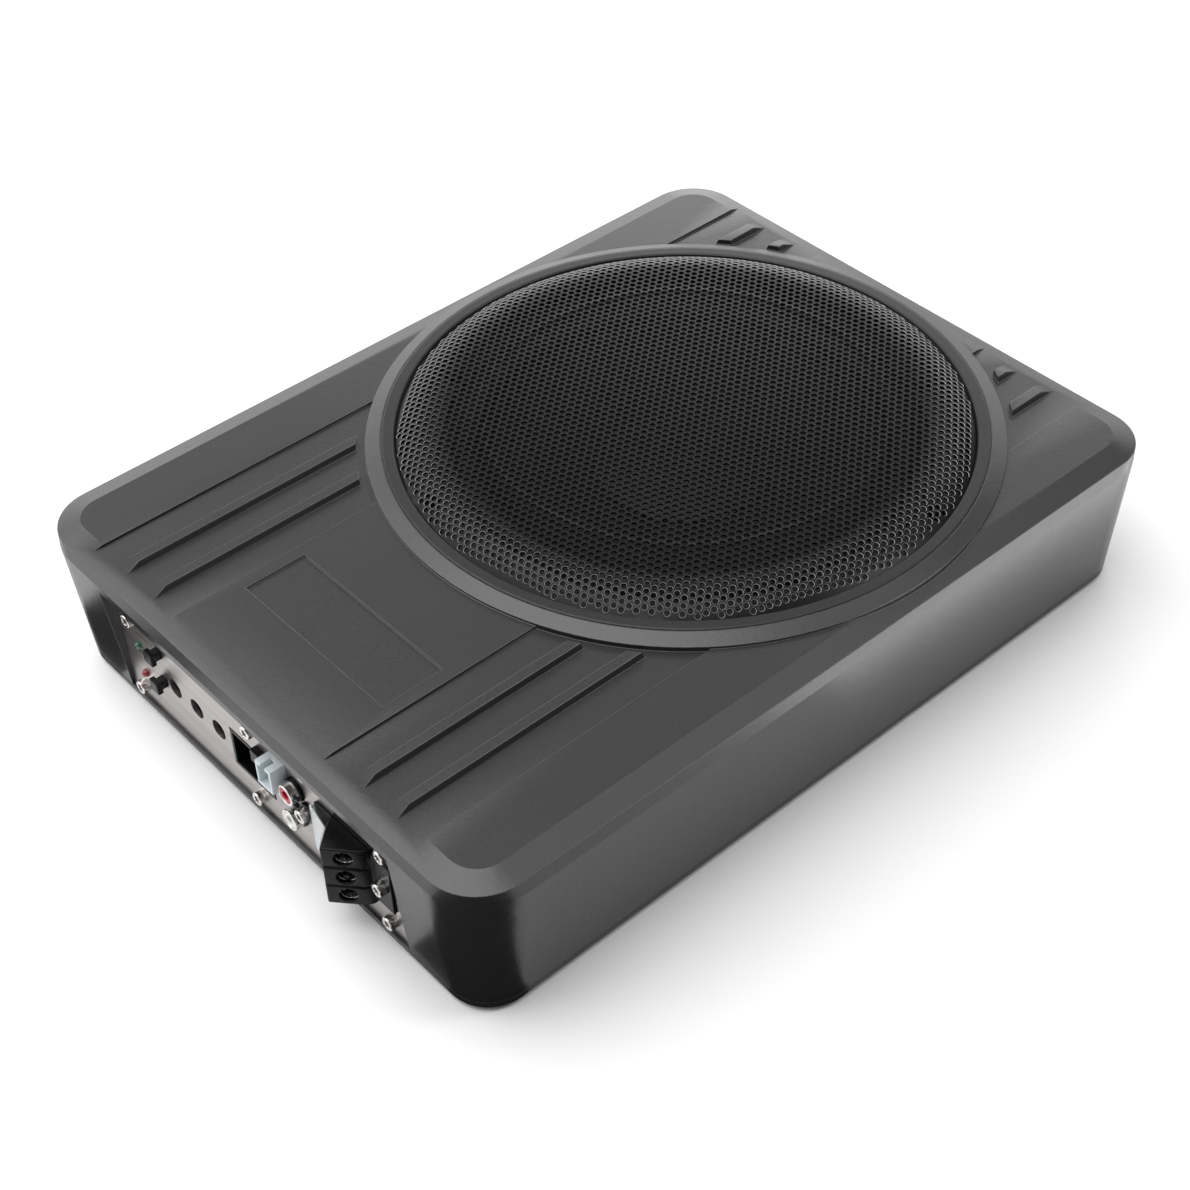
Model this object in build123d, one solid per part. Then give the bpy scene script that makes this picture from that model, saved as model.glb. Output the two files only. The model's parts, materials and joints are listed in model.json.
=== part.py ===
from build123d import *
import math
import os

# Powered car subwoofer: a slim under-seat enclosure with its own amplifier.
# Frame: millimetres, +Z up, standing on its rubber feet at z = 0. The connector panel is on the -X end,
# the driver under its round grille towards the +X end, and +Y is across the width.

# ---------------------------------------------------------------- driving dimensions
body_length = 330.0
body_width = 250.0
body_corner_radius = 21.0
wall_corner_radius = 23.7       # at the widest level, so that the chamfer runs out in the corners
foot_height = 2.0

side_inset_at_base = 4.8        # the walls lean in towards the base
widest_z = 57.7                 # where the walls reach the full length and width
top_z = 65.0
bevel_inset = 9.9
chamfer_inset = 1.14            # narrow chamfer between wall and bevel
chamfer_top_z = 62.6

base_plate_thickness = 3.0
wall_inset_low = 10.0           # inner wall face at the base
wall_inset_high = 7.5           # inner wall face under the top
top_thickness = 4.0

terminal_reach = 7.0            # how far the power terminal stands out past the panel end
ring_from_panel_end = 205.6
ring_radius = 119.0
ring_shoulder_z = 65.9
ring_band_radius = 113.5
ring_top_z = 67.9
ledge_radius = 113.0            # ledge in the ring that holds the grille's rim
grille_seat_z = 66.0
grille_edge_radius = 107.8
grille_shoulder_radius = 92.0   # the dome turns down from here
grille_shoulder_z = 72.3
grille_bend_radius = 102.2      # a point halfway down the turned edge
grille_bend_z = 70.3
grille_top_z = 74.0
grille_sheet = 1.0

seat_z = 54.5                   # ledge that carries the driver
seat_thickness = 3.5
driver_flange_radius = 104.0
driver_cutout_radius = 93.0
driver_screw_circle = 99.0
driver_screw_count = 8
driver_screw_radius = 1.75
driver_screw_reach = 8.0

rib_centre_y = 68.15            # middle of each pair of ribs
rib_offset_y = 8.55
recess_half_width = 24.05
recess_floor_z = 64.0
rib_top_z = 66.2
rib_top_width = 3.9
rib_foot_width = 5.7
rib_foot_inset = 8.6            # where a rib's end slope starts, in from the end of the body
rib_crest_inset = 14.0
rib_ring_gap = 3.4

badge_from_end = 34.2           # shallow recess for a badge
badge_length = 24.9
badge_half_width = 38.7
badge_depth = 0.8

gasket_height = 1.2
base_screw_radius = 2.0
base_screw_reach = 9.0
screw_pillar_radius = 5.5
countersink_radius = 4.0
countersink_depth = 2.0
foot_radius = 8.0
foot_tread_radius = 7.0
foot_pocket_depth = 0.8
insert_radius = 3.6             # threaded inserts for mounting brackets
insert_flange_radius = 5.0
insert_bore_radius = 2.1

panel_front_inset = 5.8         # panel face, behind the widest point of the end wall
panel_thickness = 2.0
panel_half_width = 88.0
panel_top_z = 57.0
opening_half_width = 83.0
opening_top_z = 54.0
panel_mid_z = 28.0
panel_screw_y = 73.7
panel_screw_z = 16.65           # above and below panel_mid_z
panel_screw_radius = 1.5
panel_screw_reach = 6.0
panel_screw_head_radius = 2.75
panel_screw_head_height = 3.0
panel_block_half = 5.0
panel_block_depth = 9.0

cone_travel = 6.0               # each way from rest
yoke_z = 9.0
yoke_thickness = 5.0
magnet_height = 12.0
magnet_radius = 48.0
magnet_bore_radius = 23.0
top_plate_thickness = 5.0
plate_radius = 44.0
gap_radius = 19.1
pole_radius = 17.0
vent_radius = 5.0
former_inner = 17.5
former_outer = 17.8
former_top_z = 43.0
coil_outer = 18.6
coil_height = 2 * cone_travel + 2.0
spider_shelf_z = 38.5
surround_shelf_z = 55.2
cone_edge_z = 56.2

leds = {"power_led": (71.6, 33.0), "protect_led": (71.3, 19.0)}
led_radius = 1.5
buttons = {"phase_button": (58.2, 38.4), "auto_on_button": (58.2, 24.4)}
button_half = 2.6
button_stem = 3.6
button_cap_thickness = 2.2
button_proud = 4.6
button_travel = 2.0
dials = {"level_dial": 50.9, "crossover_dial": 37.2, "bass_boost_dial": 23.5}
dial_z = 26.0
dial_radius = 3.75
dial_recess = 2.8
dial_thickness = 2.0
rca_y = -23.8
rca_z = (21.8, 34.3)
rca_shell_radius = 4.15
rca_shell_wall = 1.0
rca_shell_proud = 4.6
rca_neck_radius = 3.6           # the shell steps in where it enters the collar
rca_collar_radius = 4.7
rca_collar_proud = 1.2
rca_pin_radius = 1.65
rca_pin_depth = 8.0
speaker_socket = (-9.0, 15.4, 16.0, 34.0)       # y0, y1, z0, z1
remote_socket = (-18.9, -9.9, 31.0, 42.2)
remote_proud = 6.0

apex_y = -55.5                  # outermost edge of the power terminal
face_angle = math.degrees(math.atan2(-10.1, 8.8))
face_width = 13.4               # its wire-entry face looks outwards and to -Y
cell_pitch = 9.0
cell_count = 3
terminal_hole = (-67.0, -46.0)
terminal_screw_y = (-72.0, -29.8)
flange_half_height = 11.0
flange_thickness = 1.2
wire_entry_radius = 3.1
wire_entry_along = 7.4
wire_entry_depth = 9.5
clamp_screw_radius = 2.0
clamp_screw_inward = 5.0
clamp_screw_travel = 3.0

board_thickness = 1.6
board_half_width = 96.0
spreader_y = 82.0

# ---------------------------------------------------------------- derived places
body_x = terminal_reach / 2
end_x = body_x - body_length / 2
ring_x = end_x + ring_from_panel_end
base_top_z = foot_height + base_plate_thickness
panel_x = end_x + panel_front_inset
panel_back_x = panel_x + panel_thickness
inside_top_z = top_z - top_thickness
control_board_x = panel_back_x + 9.0

magnet_z = yoke_z + yoke_thickness
top_plate_z = magnet_z + magnet_height
motor_top_z = top_plate_z + top_plate_thickness
gap_mid_z = top_plate_z + top_plate_thickness / 2
coil_z = gap_mid_z - coil_height / 2
flange_z = seat_z + 1.0
flange_top_z = flange_z + 1.2

apex_x = end_x - terminal_reach
terminal_low_z = panel_mid_z - cell_pitch * cell_count / 2
terminal_high_z = panel_mid_z + cell_pitch * cell_count / 2
cell_z = [panel_mid_z + (k - 1) * cell_pitch for k in range(cell_count)]

board_z = base_top_z + 6.0
board_top_z = board_z + board_thickness
board_x0 = panel_back_x + 13.5
board_x1 = body_x - 62.0
standoff_spots = [(x, y) for x in (board_x0 + 6, board_x1 - 6) for y in (-90, 0, 90)]

base_screw_spots = [(body_x + x, y) for x in (-149, -55, 45, 149) for y in (-109, 109)]
bracket_spots = [(body_x + x, y) for x in (-125, 125) for y in (-92, 92)]
foot_spots = [(body_x + x, y) for x in (-140, 140) for y in (-88, 88)]
panel_screw_spots = [(y, panel_mid_z + z) for z in (-panel_screw_z, panel_screw_z)
                     for y in (-panel_screw_y, 0, panel_screw_y)]

parts = {}


# ---------------------------------------------------------------- small helpers
def cyl(radius, z0, z1, x=0.0, y=0.0):
    """Upright cylinder from z0 to z1."""
    return Pos(x, y, (z0 + z1) / 2) * Cylinder(radius, z1 - z0)


def tube(outer, inner, z0, z1, x=0.0, y=0.0):
    """Upright tube from z0 to z1."""
    return cyl(outer, z0, z1, x, y) - cyl(inner, z0 - 1, z1 + 1, x, y)


def block(x0, x1, y0, y1, z0, z1):
    """Box between two corners."""
    return Pos((x0 + x1) / 2, (y0 + y1) / 2, (z0 + z1) / 2) * Box(x1 - x0, y1 - y0, z1 - z0)


def rod_x(radius, x0, x1, y, z):
    """Cylinder along X."""
    return Pos((x0 + x1) / 2, y, z) * Rot(0, 90, 0) * Cylinder(radius, x1 - x0)


def prism_x(points, x0, x1):
    """Prism along X from (y, z) points."""
    face = make_face(Plane.YZ.offset(x0) * Polyline(*points, close=True))
    return extrude(face, amount=x1 - x0, dir=(1, 0, 0))


def prism_y(points, y0, y1):
    """Prism along Y from (x, z) points."""
    face = make_face(Plane.XZ.offset(-y0) * Polyline(*points, close=True))
    return extrude(face, amount=y1 - y0, dir=(0, 1, 0))


def prism_z(points, z0, z1):
    """Prism along Z from (x, y) points."""
    face = make_face(Plane.XY.offset(z0) * Polyline(*points, close=True))
    return extrude(face, amount=z1 - z0, dir=(0, 0, 1))


def outline(inset, z, radius=body_corner_radius):
    """Rounded rectangle of the body, drawn in by an inset."""
    corner = max(radius - inset, 2.0)
    return Pos(body_x, 0, z) * RectangleRounded(body_length - 2 * inset, body_width - 2 * inset, corner)


def stack(*sections):
    """Straight-sided loft through outlines of the body, lowest first."""
    return loft(list(sections), ruled=True)


def turned(points, x=ring_x, y=0.0):
    """Solid of revolution about the vertical axis at (x, y) from (radius, z) points."""
    profile = make_face(Plane.XZ * Polyline(*points, close=True))
    return Pos(x, y, 0) * revolve(profile, Axis.Z)


def turned_edges(edges):
    """Solid of revolution about the driver's axis from (radius, z) edges."""
    face = make_face([Plane.XZ * edge for edge in edges])
    return Pos(ring_x, 0, 0) * revolve(face, Axis.Z)


def crown(rim, rim_z, top):
    """Arc over the axis from a rim up to a top height, level in the middle."""
    drop = top - rim_z
    sphere = (rim * rim + drop * drop) / (2 * drop)
    half = rim / 2
    half_z = top - sphere + math.sqrt(sphere * sphere - half * half)
    return ThreePointArc((rim, rim_z), (half, half_z), (0, top))


def inset_at(z):
    """Inset of the leaning wall at a height."""
    return side_inset_at_base * (widest_z - z) / (widest_z - foot_height)


def group(pieces):
    """Several separate solids kept together in one node."""
    return Compound(children=list(pieces))


def save(name, shape):
    parts[name] = shape


# ---------------------------------------------------------------- enclosure
def rib(centre_y):
    """One raised rib along X, sloped at both ends and cut round the ring."""
    half_top = rib_top_width / 2
    half_foot = rib_foot_width / 2
    root_z = recess_floor_z - 1
    x0 = end_x + rib_foot_inset
    x1 = body_x + body_length / 2 - rib_foot_inset
    slope = rib_crest_inset - rib_foot_inset
    side = [(x0, recess_floor_z), (x0 + slope, rib_top_z), (x1 - slope, rib_top_z),
            (x1, recess_floor_z), (x1, root_z), (x0, root_z)]
    long_view = prism_y(side, centre_y - half_foot, centre_y + half_foot)
    end = [(-half_foot, recess_floor_z), (-half_top, rib_top_z), (half_top, rib_top_z),
           (half_foot, recess_floor_z), (half_foot, root_z), (-half_foot, root_z)]
    cross_view = prism_x([(centre_y + y, z) for y, z in end], x0, x1)
    return (long_view & cross_view) - cyl(ring_radius + rib_ring_gap, root_z - 1, rib_top_z + 1, ring_x)


def around_ring(z0, z1):
    """Raised boss that carries the ring, with its shoulder and its lighter outer band."""
    return turned([(0, z0), (ring_radius + 0.4, z0), (ring_radius, ring_shoulder_z),
                   (ring_band_radius, z1), (0, z1)])


def make_outer_form():
    """Outside of the housing, still solid: walls, bevel, sunk fields with ribs, badge recess and ring."""
    form = stack(outline(inset_at(base_top_z), base_top_z), outline(0, widest_z, wall_corner_radius),
                 outline(chamfer_inset, chamfer_top_z), outline(bevel_inset, top_z))
    for side in (-1, 1):
        y0 = side * rib_centre_y - recess_half_width
        y1 = y0 + 2 * recess_half_width
        form -= block(end_x - 1, end_x + body_length + 1, y0, y1, recess_floor_z, top_z + 1)
        for offset in (-rib_offset_y, rib_offset_y):
            form += rib(side * rib_centre_y + offset)
    badge_x = end_x + badge_from_end
    form -= block(badge_x, badge_x + badge_length, -badge_half_width, badge_half_width,
                  top_z - badge_depth, top_z + 1)
    return form + around_ring(top_z - 5, ring_top_z)


def make_cavity():
    """Room inside the housing, without the ring that seats the driver."""
    room = stack(outline(wall_inset_low, base_top_z - 1), outline(wall_inset_high, inside_top_z))
    return room - tube(ring_radius, driver_cutout_radius, seat_z - seat_thickness, inside_top_z + 1, ring_x)


def make_top_housing():
    shell = make_outer_form() - make_cavity()
    for x, y in base_screw_spots:
        shell += cyl(screw_pillar_radius, base_top_z + 1, inside_top_z + 1, x, y)
    shell -= cyl(driver_cutout_radius, seat_z - 10, grille_top_z, ring_x)
    shell -= cyl(driver_flange_radius + 1.5, seat_z, grille_top_z, ring_x)
    shell -= cyl(ledge_radius, grille_seat_z, grille_top_z, ring_x)

    shell -= gasket_ring(base_top_z - 0.5, base_top_z + gasket_height)
    for x, y in base_screw_spots:
        shell -= cyl(base_screw_radius, base_top_z - 1, base_top_z + base_screw_reach + 1, x, y)
    for x, y in driver_screw_spots():
        shell -= cyl(driver_screw_radius, seat_z - driver_screw_reach - 0.5, seat_z + 1, x, y)

    # panel pocket, the opening in front of it and the lugs for the upper panel screws
    pocket = panel_half_width + 0.2
    shell -= block(panel_x, panel_back_x + 6, -pocket, pocket, base_top_z - 1, panel_top_z + 0.2)
    shell -= block(end_x - 5, panel_x + 1, -opening_half_width, opening_half_width,
                   base_top_z - 1, opening_top_z)
    for y, z in panel_screw_spots:
        if z > panel_mid_z:
            half = panel_block_half
            shell += block(panel_back_x, panel_back_x + panel_block_depth, y - half, y + half,
                           z - half, inside_top_z + 1)
            shell -= panel_screw_hole(y, z)
    return shell


def panel_screw_hole(y, z):
    return rod_x(panel_screw_radius, panel_back_x - 1, panel_back_x + panel_screw_reach + 1, y, z)


def driver_screw_spots():
    step = 2 * math.pi / driver_screw_count
    angles = [step * (k + 0.5) for k in range(driver_screw_count)]
    return [(ring_x + driver_screw_circle * math.cos(a), driver_screw_circle * math.sin(a)) for a in angles]


def gasket_ring(z0, z1):
    """Strip that follows the inside edge of the walls and stops at the panel."""
    outer = extrude(outline(7.4, z0), amount=z1 - z0)
    inner = extrude(outline(9.6, z0 - 1), amount=z1 - z0 + 2)
    half_gap = panel_half_width + 2
    return outer - inner - block(end_x, end_x + 20, -half_gap, half_gap, z0 - 1, z1 + 1)


def make_base_plate():
    plate = stack(outline(side_inset_at_base, foot_height), outline(inset_at(base_top_z), base_top_z))
    for x, y in base_screw_spots:
        plate -= cyl(base_screw_radius, 0, base_top_z + 1, x, y) + countersunk(x, y)
    for x, y in bracket_spots:
        plate -= cyl(insert_radius, 0, base_top_z + 1, x, y)
    for x, y in foot_spots:
        plate -= cyl(foot_radius, foot_height - 1, foot_height + foot_pocket_depth, x, y)
    return plate


def countersunk(x, y):
    """Conical head of a base screw, and its seat in the plate."""
    middle_z = foot_height + countersink_depth / 2
    return Pos(x, y, middle_z) * Cone(countersink_radius, base_screw_radius, countersink_depth)


def make_base_screws():
    def screw(x, y):
        shank = cyl(base_screw_radius, foot_height + countersink_depth, base_top_z + base_screw_reach, x, y)
        socket = Pos(x, y, foot_height + 0.6) * extrude(RegularPolygon(1.4, 6), amount=1.4, both=True)
        return countersunk(x, y) + shank - socket
    return group(screw(x, y) for x, y in base_screw_spots)


def make_rubber_feet():
    def foot(x, y):
        pad = cyl(foot_radius, foot_height, foot_height + foot_pocket_depth, x, y)
        tread = Pos(x, y, foot_height / 2) * Cone(foot_tread_radius, foot_radius, foot_height)
        return pad + tread
    return group(foot(x, y) for x, y in foot_spots)


def make_bracket_nuts():
    def nut(x, y):
        barrel = cyl(insert_radius, foot_height, base_top_z, x, y)
        flange = cyl(insert_flange_radius, base_top_z, base_top_z + 3.5, x, y)
        return barrel + flange - cyl(insert_bore_radius, 0, 20, x, y)
    return group(nut(x, y) for x, y in bracket_spots)


# ---------------------------------------------------------------- grille
def make_grille():
    """Domed sheet with a flat rim that sits on the ring's ledge."""
    rim = ledge_radius - 0.2
    shoulder, shoulder_z = grille_shoulder_radius, grille_shoulder_z
    z_low, z_high = grille_seat_z, grille_seat_z + grille_sheet
    inner_edge, inner_shoulder = grille_edge_radius - grille_sheet, shoulder - grille_sheet / 2
    edges = [
        Line((rim, z_low), (rim, z_high)),
        Line((rim, z_high), (grille_edge_radius, z_high)),
        ThreePointArc((grille_edge_radius, z_high), (grille_bend_radius, grille_bend_z),
                      (shoulder, shoulder_z)),
        crown(shoulder, shoulder_z, grille_top_z),
        Line((0, grille_top_z), (0, grille_top_z - grille_sheet)),
        crown(inner_shoulder, shoulder_z - grille_sheet, grille_top_z - grille_sheet),
        ThreePointArc((inner_shoulder, shoulder_z - grille_sheet),
                      (grille_bend_radius - grille_sheet * 0.6, grille_bend_z - grille_sheet * 0.9),
                      (inner_edge, z_low)),
        Line((inner_edge, z_low), (rim, z_low)),
    ]
    return turned_edges(edges)


def make_retainer_ring():
    low, high = grille_seat_z + grille_sheet, ring_top_z + 0.3
    outer, inner = ledge_radius - 0.1, grille_edge_radius + 0.3
    return turned([(outer, low), (outer, high - 0.2), (outer - 0.7, high), (inner + 0.6, high),
                   (inner, high - 0.5), (inner, low)])


# ---------------------------------------------------------------- driver
def make_driver_gasket():
    ring = tube(driver_flange_radius, driver_cutout_radius + 0.5, seat_z, flange_z, ring_x)
    return ring - driver_screw_holes(seat_z - 1, flange_z + 1, 2.1)


def driver_screw_holes(z0, z1, radius):
    holes = Part()
    for x, y in driver_screw_spots():
        holes += cyl(radius, z0, z1, x, y)
    return holes


def make_basket():
    """Pressed frame: flange, surround shelf, windowed cone, spider shelf and motor seat."""
    seat_top_z = motor_top_z + 2.0
    under_spider_z, under_shelf_z = spider_shelf_z - 1.6, surround_shelf_z - 1.8
    upper = [(driver_flange_radius, flange_top_z), (93.0, flange_top_z), (92.2, surround_shelf_z),
             (86.5, surround_shelf_z), (84.0, 51.0), (52.0, spider_shelf_z), (43.0, spider_shelf_z),
             (41.0, seat_top_z), (24.0, seat_top_z)]
    lower = [(24.0, motor_top_z), (42.5, motor_top_z), (44.2, under_spider_z), (52.4, under_spider_z),
             (85.3, 49.2), (87.8, under_shelf_z), (92.6, under_shelf_z), (92.6, flange_z),
             (driver_flange_radius, flange_z)]
    frame = turned(upper + lower)
    frame -= driver_screw_holes(flange_z - 1, flange_top_z + 1, 2.1)
    window = turned([(55.0, 30), (82.0, 30), (82.0, 53), (55.0, 53)])
    spokes = 6
    for k in range(spokes):
        angle = 360 / spokes * (k + 0.5)
        spoke = Pos(ring_x, 0, 0) * Rot(0, 0, angle) * block(50, 90, -9, 9, 25, 58)
        window -= spoke
    return frame - window


def make_driver_screws():
    def screw(x, y):
        head = Pos(x, y, flange_top_z + 1.0) * Cone(3.6, 2.6, 2.0)
        shank = cyl(driver_screw_radius, seat_z - driver_screw_reach, flange_top_z, x, y)
        cross = Pos(x, y, flange_top_z + 1.7) * (Box(3.0, 0.8, 1.4) + Box(0.8, 3.0, 1.4))
        return head + shank - cross
    return group(screw(x, y) for x, y in driver_screw_spots())


def make_surround():
    """Rubber half roll between the basket's shelf and the rim of the cone."""
    thick = 1.0
    roll_centre, roll_radius = 81.25, 5.25
    base, cone_side = surround_shelf_z, cone_edge_z
    outer_end, inner_end = 92.0, 72.5
    outer, inner = roll_centre + roll_radius, roll_centre - roll_radius
    lip = roll_radius - thick
    lip_outer, lip_inner = roll_centre + lip, roll_centre - lip
    edges = [
        Line((outer_end, base), (outer_end, base + thick)),
        Line((outer_end, base + thick), (outer, base + thick)),
        ThreePointArc((outer, base + thick), (roll_centre, base + thick + roll_radius),
                      (inner, cone_side + thick)),
        Line((inner, cone_side + thick), (inner_end, cone_side + thick)),
        Line((inner_end, cone_side + thick), (inner_end, cone_side)),
        Line((inner_end, cone_side), (lip_inner, cone_side)),
        ThreePointArc((lip_inner, cone_side), (roll_centre, base + lip + thick * 0.9), (lip_outer, base)),
        Line((lip_outer, base), (outer_end, base)),
    ]
    return turned_edges(edges)


def make_cone():
    rim = 76.0
    neck = former_outer
    neck_z = former_top_z - 3.0
    return turned([(neck, neck_z), (neck, former_top_z - 1.2), (71.5, cone_edge_z), (rim, cone_edge_z),
                   (rim, cone_edge_z - 0.8), (71.8, cone_edge_z - 0.9), (neck + 1.2, neck_z)])


def cone_top_at(radius):
    """Height of the cone's upper face."""
    slope = (cone_edge_z - former_top_z + 1.2) / (71.5 - former_outer)
    return former_top_z - 1.2 + slope * (radius - former_outer)


def make_dust_cap():
    rim = 34.0
    rim_z = cone_top_at(rim)
    flange = 2.5
    foot_z = cone_top_at(rim - flange)
    crown_z = rim_z + 6.0
    sheet = 0.8
    edges = [
        Line((rim, rim_z), (rim, rim_z + sheet)),
        crown(rim, rim_z + sheet, crown_z),
        Line((0, crown_z), (0, crown_z - sheet)),
        crown(rim - flange, foot_z, crown_z - sheet),
        Line((rim - flange, foot_z), (rim, rim_z)),
    ]
    return turned_edges(edges)


def make_spider():
    """Corrugated cloth disc that centres the coil."""
    inner, outer = former_outer, 51.0
    clamp_inner = 43.2
    waves, height, thick = 5, 1.4, 0.8
    flat_inner = 21.0
    step = (clamp_inner - flat_inner) / waves
    top = [(inner, spider_shelf_z + thick), (flat_inner, spider_shelf_z + thick)]
    low = [(inner, spider_shelf_z), (flat_inner, spider_shelf_z)]
    for k in range(waves):
        r = flat_inner + step * k
        top += [(r + step * share, spider_shelf_z + thick + height) for share in (0.3, 0.7)]
        low += [(r + step * share, spider_shelf_z + height) for share in (0.36, 0.64)]
        top.append((r + step, spider_shelf_z + thick))
        low.append((r + step, spider_shelf_z))
    top.append((outer, spider_shelf_z + thick))
    low.append((outer, spider_shelf_z))
    return turned(top + low[::-1])


def make_yoke():
    """Back plate with its pole and the vent down the middle."""
    yoke = cyl(plate_radius, yoke_z, magnet_z, ring_x) + cyl(pole_radius, magnet_z, motor_top_z + 1, ring_x)
    return yoke - cyl(vent_radius, yoke_z - 1, motor_top_z + 2, ring_x)


def make_driver_terminals():
    """Insulated strip on the basket's cone with two solder tags."""
    base_x = ring_x - 66
    strip = block(base_x - 7, base_x + 1, -12, 12, 36.0, 38.0)
    pillar = block(base_x - 1, base_x + 1, -12, 12, 38.0, 41.2)
    tags = [block(base_x - 14, base_x - 3, y - 2.4, y + 2.4, 38.0, 38.8) for y in (-7, 7)]
    return strip + pillar, group(tags)


# ---------------------------------------------------------------- connector panel
def make_panel_plate():
    plate = block(panel_x, panel_back_x, -panel_half_width, panel_half_width, base_top_z, panel_top_z)
    x0, x1 = panel_x - 1, panel_back_x + 1
    for y, z in panel_screw_spots:
        plate -= rod_x(panel_screw_radius + 0.1, x0, x1, y, z)
    for y, z in leds.values():
        plate -= rod_x(led_radius + 0.1, x0, x1, y, z)
    for y, z in buttons.values():
        half = button_stem / 2 + 0.3
        plate -= block(x0, x1, y - half, y + half, z - half, z + half)
    for y in dials.values():
        plate -= rod_x(dial_radius + 0.15, x0, x1, y, dial_z)
    for z in rca_z:
        plate -= rod_x(rca_collar_radius + 0.1, x0, x1, rca_y, z)
    for y0, y1, z0, z1 in (speaker_socket, remote_socket):
        plate -= block(x0, x1, y0, y1, z0, z1)
    plate -= block(x0, x1, terminal_hole[0], terminal_hole[1], terminal_low_z, terminal_high_z)
    for y in terminal_screw_y:
        plate -= rod_x(panel_screw_radius + 0.1, x0, x1, y, panel_mid_z)
    return plate


def cap_screw(y, z, face_x, reach):
    """Socket-head cap screw along X with its head against face_x."""
    top_x = face_x - panel_screw_head_height
    head = rod_x(panel_screw_head_radius, top_x, face_x, y, z)
    shank = rod_x(panel_screw_radius, face_x, face_x + reach, y, z)
    socket = Pos(top_x, y, z) * Rot(0, 90, 0) * extrude(RegularPolygon(1.45, 6), amount=1.8, both=True)
    return head + shank - socket


def make_panel_screws():
    return group(cap_screw(y, z, panel_x, panel_thickness + panel_screw_reach) for y, z in panel_screw_spots)


def make_panel_blocks():
    """Threaded blocks on the base plate that take the lower panel screws."""
    pieces = []
    for y, z in panel_screw_spots:
        if z < panel_mid_z:
            half = panel_block_half
            piece = block(panel_back_x, panel_back_x + panel_block_depth, y - half, y + half,
                          base_top_z, z + 4)
            pieces.append(piece - panel_screw_hole(y, z))
    return group(pieces)


def on_face(along, inward, z):
    """Place on the wire-entry face: along it from the apex, then inwards at right angles."""
    a = math.radians(face_angle)
    return Vector(apex_x + along * math.cos(a) - inward * math.sin(a),
                  apex_y + along * math.sin(a) + inward * math.cos(a), z)


def rod_between(radius, start, end):
    """Cylinder from one point to another."""
    direction = end - start
    disc = Plane(origin=start, z_dir=direction) * Circle(radius)
    return extrude(disc, amount=direction.length, dir=direction.normalized())


def wire_entry(z, radius=wire_entry_radius, start=-3.0, depth=wire_entry_depth):
    return rod_between(radius, on_face(wire_entry_along, start, z), on_face(wire_entry_along, depth, z))


def clamp_hole(z, radius, start, end):
    """Cylinder at right angles to the wire entry, in from the clamp-screw side."""
    return rod_between(radius, on_face(start, clamp_screw_inward, z), on_face(end, clamp_screw_inward, z))


def terminal_plan(z0, z1, shrink=0.0):
    """Plan of the terminal body in front of the panel."""
    apex = on_face(shrink, shrink, 0)
    shoulder = on_face(shrink, 8.6, 0)
    face_end = on_face(face_width - shrink, shrink, 0)
    root_x = panel_x - flange_thickness
    points = [(root_x, terminal_hole[1] - 0.2), (shoulder.X, shoulder.Y), (apex.X, apex.Y),
              (face_end.X, face_end.Y), (root_x, terminal_hole[0] + 0.2)]
    return prism_z(points, z0, z1)


def make_power_terminal_body():
    groove = 0.35
    body = terminal_plan(terminal_low_z, terminal_high_z)
    for k in range(1, cell_count):
        z = terminal_low_z + k * cell_pitch
        slab = terminal_plan(z - groove, z + groove)
        body -= slab - terminal_plan(z - groove - 1, z + groove + 1, shrink=0.6)
    ear = 3.8
    front = panel_x - flange_thickness
    flange = block(front, panel_x, terminal_screw_y[0] - 4.5, -36.0,
                   panel_mid_z - flange_half_height, panel_mid_z + flange_half_height)
    flange += block(front, panel_x, -36.0, terminal_screw_y[1], panel_mid_z - ear, panel_mid_z + ear)
    flange += rod_x(ear, front, panel_x, terminal_screw_y[1], panel_mid_z)
    root = block(panel_x - flange_thickness, panel_back_x + 8, terminal_hole[0] + 0.2, terminal_hole[1] - 0.2,
                 terminal_low_z + 0.2, terminal_high_z - 0.2)
    body += flange + root
    for y in terminal_screw_y:
        body -= rod_x(panel_screw_radius + 0.1, panel_x - 5, panel_x + 1, y, panel_mid_z)
    for z in cell_z:
        body -= wire_entry(z)
        body -= clamp_block(z)
        body -= clamp_hole(z, clamp_screw_radius + 0.6, -3.0, clamp_screw_travel + 1.0)
    return body


def clamp_block(z):
    """Outer form of one brass clamp, with its tail through to the board side."""
    half = 3.6
    low, high = on_face(2.4, 1.6, 0), on_face(11.6, 8.6, 0)
    middle = (low + high) / 2
    form = Pos(middle.X, middle.Y, z) * Rot(0, 0, face_angle) * Box(9.2, 7.0, 2 * half)
    tail = block(panel_x - 4, panel_back_x + 12, -57.5, -51.5, z - 0.6, z + 0.6)
    return form + tail


def make_terminal_clamps():
    def clamp(z):
        thread = clamp_hole(z, clamp_screw_radius + 0.05, 0.0, wire_entry_along)
        return clamp_block(z) - wire_entry(z) - thread
    return group(clamp(z) for z in cell_z)


def make_clamp_screw(z):
    """Slotted grub screw that closes one clamp."""
    start, end = 0.9, wire_entry_along - wire_entry_radius
    slot_angle = Rot(0, 0, face_angle)
    mouth = on_face(start, clamp_screw_inward, z)
    slot = Pos(mouth.X, mouth.Y, mouth.Z) * slot_angle * Box(1.8, 6.0, 0.7)
    return clamp_hole(z, clamp_screw_radius, start, end) - slot


def make_terminal_screws():
    reach = flange_thickness + panel_thickness + 1.5
    return group(cap_screw(y, panel_mid_z, panel_x - flange_thickness, reach) for y in terminal_screw_y)


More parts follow.
